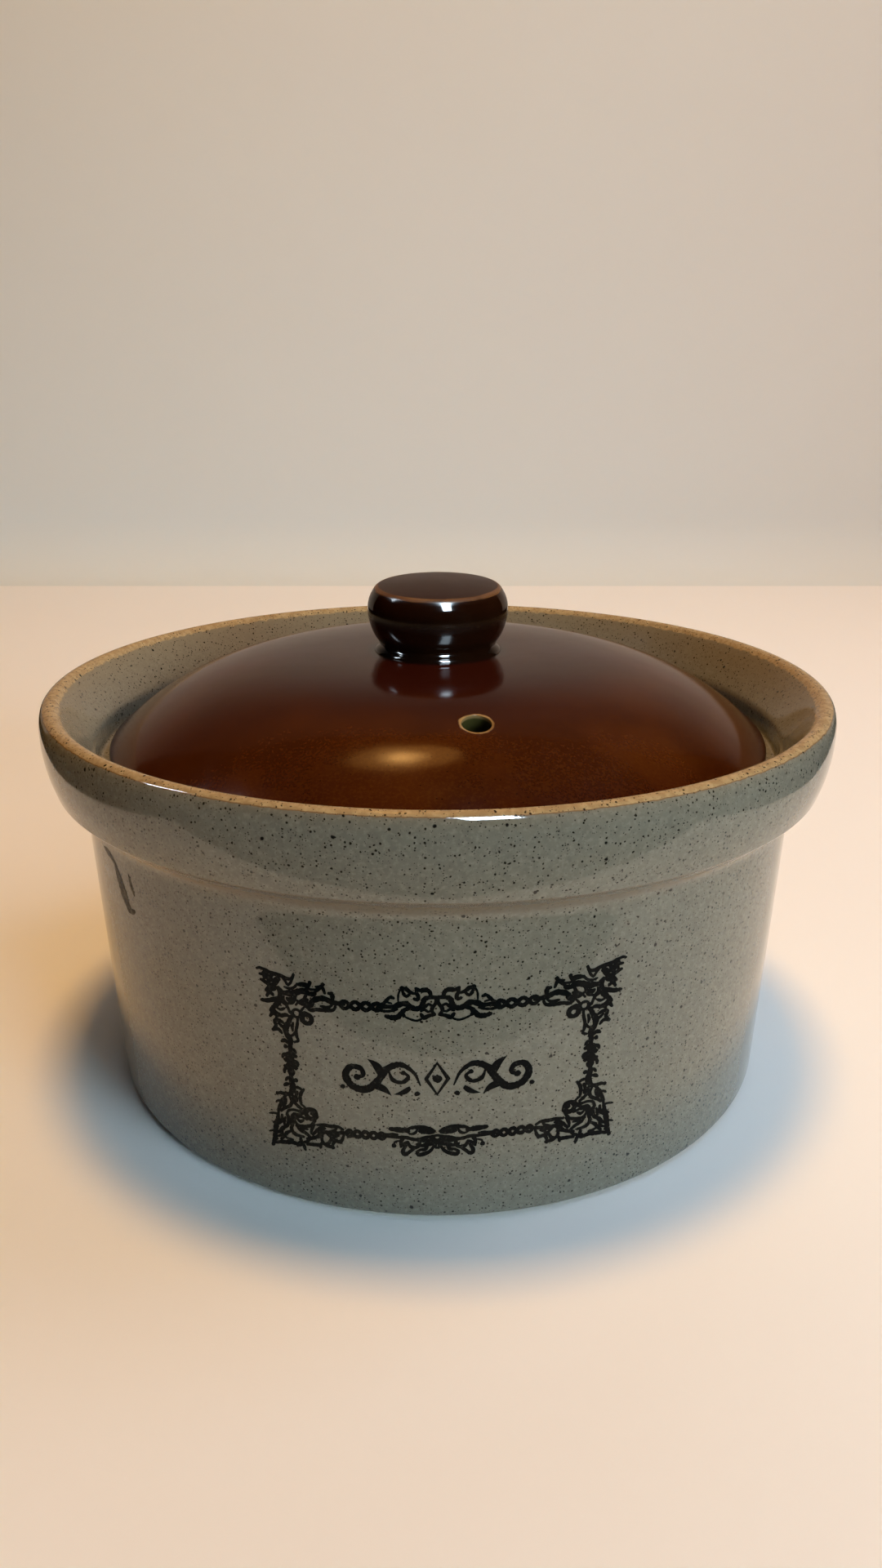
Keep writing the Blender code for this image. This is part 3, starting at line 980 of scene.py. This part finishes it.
def wall_film(name, ink):
    """Flat shapes, joined into one sheet and laid on the wall as a thin film."""
    sides = [(face[i - 1], face[i]) for face in ink.faces for i in range(len(face))]
    made = geometry.delaunay_2d_cdt([Vector(point) for point in ink.points], sides, [], 0, PRINT_WELD)
    spots = np.array([tuple(spot) for spot in made[0]])
    faces = np.array(made[2])
    middles = spots[faces].mean(axis=1)
    order = np.argsort(middles[:, 0])
    inked = np.zeros(len(faces), dtype=bool)
    for face in ink.faces:
        outline = np.array([ink.points[index] for index in face])
        reach = np.searchsorted(middles[order, 0], [outline[:, 0].min(), outline[:, 0].max()])
        near = order[reach[0]: reach[1]]
        near = near[(middles[near, 1] > outline[:, 1].min()) & (middles[near, 1] < outline[:, 1].max())]
        inked[near[inside(middles[near], outline)]] = True
    used, kept = np.unique(faces[inked], return_inverse=True)
    kept = kept.reshape(-1, 3)
    spots = spots[used]
    radius = wall_radius(spots[:, 1] * MM) + PRINT_LIFT
    angle = spots[:, 0] * MM / wall_radius(PRINT_MIDDLE * MM)
    places = np.stack([radius * np.sin(angle), -radius * np.cos(angle), spots[:, 1] * MM], axis=1)
    low, high = spots.min(axis=0), spots.max(axis=0)
    flat = (spots - low) / (high - low).max()
    piece = smooth_piece(name, places.tolist(), kept.tolist(), flat[kept])
    film = piece.modifiers.new("film", "SOLIDIFY")
    film.thickness = PRINT_FILM
    film.offset = 1.0
    settle(piece.data, DISH_UNEVEN, DISH_PHASE)
    apply_modifier(piece, film.name)
    piece.data.set_sharp_from_angle(angle=FILM_SHARP)
    return piece


# Pieces


def cove_share(line):
    """1 in the hollow between the collar and the wall, where painted shade and reflection go, 0 elsewhere.
    """
    widest = int(np.argmax(line[:, 0]))
    below = range(widest, widest + int(np.argmin(line[widest:, 1])))
    slopes = np.abs(np.gradient(line[:, 1]) / np.hypot(np.gradient(line[:, 0]), np.gradient(line[:, 1])))
    hollow = [index for index in below if slopes[index] < COVE_SLOPE and line[index, 1] > 0.5 * rim_level]
    along = path_lengths(line)
    start, end = along[hollow[0]], along[hollow[-1]]
    end += COVE_REACH
    return ramp(along, start - COVE_BLUR, start) * ramp(along, end + COVE_BLUR, end)


def dish_fields(line):
    """Where the glaze is thin on the rim, browner as painted reflection in the mouth and as painted shade
    and reflection in the cove, and missing under the foot.
    """
    radius, height = line.T
    depth = rim_level - height
    rim_middle = line[height > rim_level - RIM_FLAT][:, 0].mean()
    outside = ramp(depth, *RIM_TAN_OUTSIDE)
    within = ramp(depth, *RIM_TAN_INSIDE)
    thin = np.where(radius > rim_middle, outside, within)
    thin = np.maximum(thin, EDGE_SHARE * edge_thinness(line, EDGE_BLUR))
    bare = np.clip((BARE_FOOT - height) / (BARE_FOOT_FADE * BARE_FOOT), 0.0, 1.0)
    inner = np.arange(len(line)) < np.argmax(height)
    # Painted reflection: the mouth browner from the rim down
    mouth = np.where(inner, ramp(height, rim_level - MOUTH_DEPTH, rim_level - RIM_FLAT), 0.0)
    return {"thin": thin, "bare": bare, "cove": cove_share(line), "mouth": mouth}


def lid_fields(line):
    """Slightly thin glaze on the lid's edges, deep glaze round the knob, bare clay on seat and flange."""
    radius, height = line.T
    seat = line[np.argmax(radius)][1]
    below = np.clip((seat - BARE_SEAT_DROP - height) / BARE_SEAT_FADE, 0.0, 1.0)
    bare = below * np.clip((radius - (radius.max() - BARE_SEAT_WIDTH)) / BARE_SEAT_EDGE, 0.0, 1.0)
    deep = np.where(np.arange(len(line)) < edge_index, ramp(radius, *DEEP_GLAZE), 0.0)
    return {"thin": EDGE_SHARE * edge_thinness(line, EDGE_BLUR), "bare": bare, "deep": deep}


def knob_fields(line):
    """Thin glaze along the knob's shoulder, and a top and a girth dulled by hands."""
    radius, height = line.T
    upper = ramp(height, height.mean(), height.max() - KNOB_SHOULDER)
    worn = ramp(height, height.max() - KNOB_WORN[0], height.max() - KNOB_WORN[1])
    girth = height[np.argmax(radius)] - KNOB_GRIP
    dull = ramp(np.abs(height - girth), 2 * KNOB_GRIP, 0.5 * KNOB_GRIP)
    thin = upper * edge_thinness(line, KNOB_BLUR)
    return {"thin": thin, "bare": np.zeros(len(line)), "worn": worn, "dull": dull}


def make_dish():
    piece = turned("dish_body", dish_line, DISH_SEGMENTS, dish_fields(dish_line))
    settle(piece.data, DISH_UNEVEN, DISH_PHASE)
    join(piece, "dish", "speckled_glaze", speckled_glaze(), "dish")


Vent = namedtuple("Vent", "x y radius level slope")


def vent_place():
    """The vent's middle and radius, from the lid's corners, and the dome's height and slope there."""
    opening = next(o for o in frame["record"]["physics"]["openings"] if o["name"] == "steam_vent")
    low, high = np.array(opening["box_m"])
    x, y, _ = (low + high) / 2
    places = corners_of(frame["nodes"]["lid"].data)
    radius = float(np.hypot(places[:, 0] - x, places[:, 1] - y).min())
    apart = math.hypot(x, y)
    slope = (dome_level(apart - radius) - dome_level(apart + radius)) / (2 * radius)
    return Vent(x, y, radius, dome_level(apart), slope)


def vent_cutter(vent):
    """A plug with a rounded flare at the dome's surface, sheared along the dome's slope."""
    top, bottom = vent.level + VENT_CUT_ABOVE, vent.level - VENT_CUT_BELOW
    line = [(0.0, top), (vent.radius + VENT_LIP * VENT_CUT_FLARE, top)]
    for step in range(VENT_LIP_STEPS + 1):
        angle = math.radians(90 * step / VENT_LIP_STEPS)
        radius = vent.radius + VENT_LIP * (1 - math.sin(angle))
        line.append((radius, vent.level + VENT_LIP * (math.cos(angle) - VENT_LIP_LEVEL)))
    line = np.array(line + [(vent.radius, bottom), (0.0, bottom)])
    cutter = turned("vent_cut", line, VENT_SEGMENTS, {})
    outwards = Vector((vent.x, vent.y, 0.0)).normalized()
    for vertex in cutter.data.vertices:
        vertex.co.z -= vent.slope * vertex.co.dot(outwards)
    cutter.location = (vent.x, vent.y, 0.0)
    bpy.context.view_layer.update()
    return cutter


def make_lid():
    vent = vent_place()
    piece = turned("lid_dome", lid_line, LID_SEGMENTS, lid_fields(lid_line))
    settle(piece.data, LID_UNEVEN, LID_PHASE)
    cutter = vent_cutter(vent)
    cut = piece.modifiers.new("vent", "BOOLEAN")
    cut.object = cutter
    cut.operation = "DIFFERENCE"
    cut.solver = "EXACT"
    apply_modifier(piece, cut.name)
    bpy.data.objects.remove(cutter)
    join(piece, "lid", "brown_glaze", brown_glaze("lid_glaze_look", LID_TONES, LID_GLOSS, vent), "lid")


def make_knob():
    """The knob, its foot flared over the seam with the dome, its top rounded, raised and leaning."""
    line = knob_line.copy()
    low, top = line[:, 1].min(), line[:, 1].max()
    widest = line[np.argmax(line[:, 0])][1]
    rise = np.clip((line[:, 1] - widest) / (top - KNOB_CROWN - widest), 0.0, 1.0)
    line[:, 0] *= 1 - KNOB_ROUNDED * rise ** 2
    line[:, 0] *= 1 + KNOB_FLARE * ramp(line[:, 1], low + KNOB_FLARE_BAND, low) ** 2
    line[:, 1] -= KNOB_SINK * ramp(line[:, 1], low + KNOB_FOOT_BAND, low)
    piece = turned("lid_button_knob", line, KNOB_SEGMENTS, knob_fields(line))
    settle(piece.data, KNOB_UNEVEN, KNOB_PHASE)
    for vertex in piece.data.vertices:
        share = float(ramp(vertex.co.z, low + KNOB_FOOT_BAND, low + KNOB_LEAN_FROM * (top - low)))
        vertex.co.z += share * (vertex.co.y * math.tan(KNOB_LEAN) + KNOB_RAISED)
    join(piece, "lid", "brown_glaze", brown_glaze("knob_glaze_look", KNOB_TONES, KNOB_GLOSS), "lid_knob")


def make_films():
    join(wall_film("printed_frame", drawn_print()), "dish", "speckled_glaze", print_ink())
    join(wall_film("glaze_scar", drawn_scar()), "dish", "speckled_glaze", scar_glaze())


# Stage, light and camera


def plain_surface(name, tones, high=None):
    """Plain matt surface, of another tone high up if wanted."""
    m = Nodes(name)
    pale = m.mix(m.noise(STAGE_PATCH), *tones)
    if high:
        pale = m.mix(m.span(m.axes()[2], *WALL_FADE), pale, high)
    m.surface(Base_Color=pale, Roughness=STAGE_ROUGHNESS)
    return m.material


def stage_piece(name, outline, left, right, look, mirrored):
    """A strip of the stage along an outline of depth and height; a mirrored one shows in reflections."""
    vertices = []
    for y, z in outline:
        vertices += [(left, y, z), (right, y, z)]
    faces = [(2 * i, 2 * i + 1, 2 * i + 3, 2 * i + 2) for i in range(len(outline) - 1)]
    strip = smooth_piece(name, vertices, faces)
    strip.data.materials.append(look)
    strip.visible_glossy = mirrored
    return strip


def make_stage():
    """A floor that sweeps up into a wall; the glaze mirrors only the near floor and a dim card."""
    look = plain_surface("floor_look", FLOOR_TONES)
    foot = WALL_DISTANCE - WALL_SWEEP
    back = [(foot, 0.0)]
    for step in range(1, SWEEP_STEPS + 1):
        angle = math.radians(90 * step / SWEEP_STEPS)
        back.append((foot + WALL_SWEEP * math.sin(angle), WALL_SWEEP * (1 - math.cos(angle))))
    back.append((WALL_DISTANCE, WALL_HEIGHT))
    level = [(CLOTH_FRONT, 0.0), (foot, 0.0)]
    front = [(FLOOR_FRONT, 0.0), (CLOTH_FRONT, 0.0)]
    near, wide = CLOTH_HALF_WIDTH, FLOOR_HALF_WIDTH
    stage_piece("floor_near", level, -near, near, look, True)
    stage_piece("floor_left", level, -wide, -near, look, False)
    stage_piece("floor_right", level, near, wide, look, False)
    stage_piece("floor_front", front, -wide, wide, look, False)
    wall = plain_surface("wall_look", WALL_TONES)
    stage_piece("backdrop", back, -wide, wide, wall, False)
    dim = plain_surface("card_look", CARD_TONES, CARD_DARK)
    upright = [(WALL_DISTANCE - CARD_GAP, 0.0), (WALL_DISTANCE - CARD_GAP, WALL_HEIGHT)]
    card = stage_piece("reflection_card", upright, -CARD_HALF_WIDTH, CARD_HALF_WIDTH, dim, True)
    card.visible_camera = False
    card.visible_diffuse = False
    card.visible_shadow = False


Lamp = namedtuple("Lamp", "name place sides watts tone aim spread", defaults=(LAMP_AIM, 180))

# Lamps that light without showing in the glaze
LIGHTS = (
    Lamp("overhead", (0.0, 0.0, 1.6), (0.25, 0.25), 14.5, (1.0, 0.56, 0.17)),
    Lamp("right_lamp", (1.0, 0.20, 0.55), (0.50, 0.50), 2.0, (1.0, 0.66, 0.50)),
    Lamp("right_window", (0.50, 0.10, 0.85), (0.40, 0.40), 1.7, (0.52, 0.76, 1.0)),
    Lamp("high_window", (0.70, -0.70, 1.00), (0.30, 0.40), 1.4, (0.72, 0.88, 1.0)),
    Lamp("front_window", (0.85, -0.95, 0.45), (0.60, 0.40), 1.36, (0.58, 0.82, 0.94), spread=60),
    Lamp("back_window", (0.25, 0.60, 0.90), (0.40, 0.30), 0.8, (0.55, 0.80, 1.0), aim=(0.05, 0.35, 0.0)),
)

# Lamps that make highlights in the glaze and nothing else, round ones first
ROUND_HIGHLIGHTS = (
    Lamp("amber_core", AMBER_PLACE, (0.07, 0.05), 0.16, (1.0, 0.52, 0.15)),
    Lamp("amber_glow", AMBER_PLACE, (0.15, 0.09), 0.18, (1.0, 0.50, 0.13)),
    Lamp("amber_halo", AMBER_PLACE, (0.34, 0.22), 0.25, (1.0, 0.45, 0.10)),
)
HIGHLIGHTS = (
    Lamp("window_strip", (0.26, -0.86, 1.17), (0.30, 0.62), 44.0, (0.70, 0.87, 1.0)),
    Lamp("window_left", (-1.0, 0.08, 0.95), (0.07, 0.26), 3.2, (0.78, 0.90, 1.0)),
)


def soft_light(lamp, shape, mirrored):
    """A lamp aimed at a point; a mirrored one makes highlights only, any other lights only."""
    light = bpy.data.lights.new(lamp.name, "AREA")
    light.shape = shape
    light.size, light.size_y = lamp.sides
    light.energy = lamp.watts
    light.spread = math.radians(lamp.spread)
    light.color = lamp.tone
    holder = scene_object(lamp.name, light)
    holder.location = lamp.place
    holder.rotation_euler = (Vector(lamp.aim) - Vector(lamp.place)).to_track_quat("-Z", "Y").to_euler()
    holder.visible_glossy = mirrored
    holder.visible_diffuse = not mirrored


def make_light():
    """The lamps, and a pale sky that only the camera sees."""
    world = bpy.data.worlds.new("room")
    world.use_nodes = True
    sky = world.node_tree.nodes["Background"]
    sky.inputs["Color"].default_value = SKY_TONE
    bpy.context.scene.world = world
    world.cycles_visibility.diffuse = False
    world.cycles_visibility.glossy = False
    for lamp in LIGHTS:
        soft_light(lamp, "RECTANGLE", False)
    for lamp in ROUND_HIGHLIGHTS:
        soft_light(lamp, "ELLIPSE", True)
    for lamp in HIGHLIGHTS:
        soft_light(lamp, "RECTANGLE", True)


def make_camera():
    lens = bpy.data.cameras.new("camera")
    lens.lens = CAMERA_LENS
    lens.sensor_width = CAMERA_SENSOR
    lens.sensor_fit = "AUTO"
    lens.clip_start = CAMERA_NEAR
    camera = scene_object("camera", lens)
    camera.location = CAMERA_PLACE
    camera.rotation_euler = (math.radians(90 - CAMERA_PITCH), 0.0, 0.0)
    bpy.context.scene.camera = camera
    bpy.context.scene.view_settings.view_transform = "Standard"


make_camera()
make_dish()
make_lid()
make_knob()
make_films()
make_stage()
make_light()

bpy.context.view_layer.update()
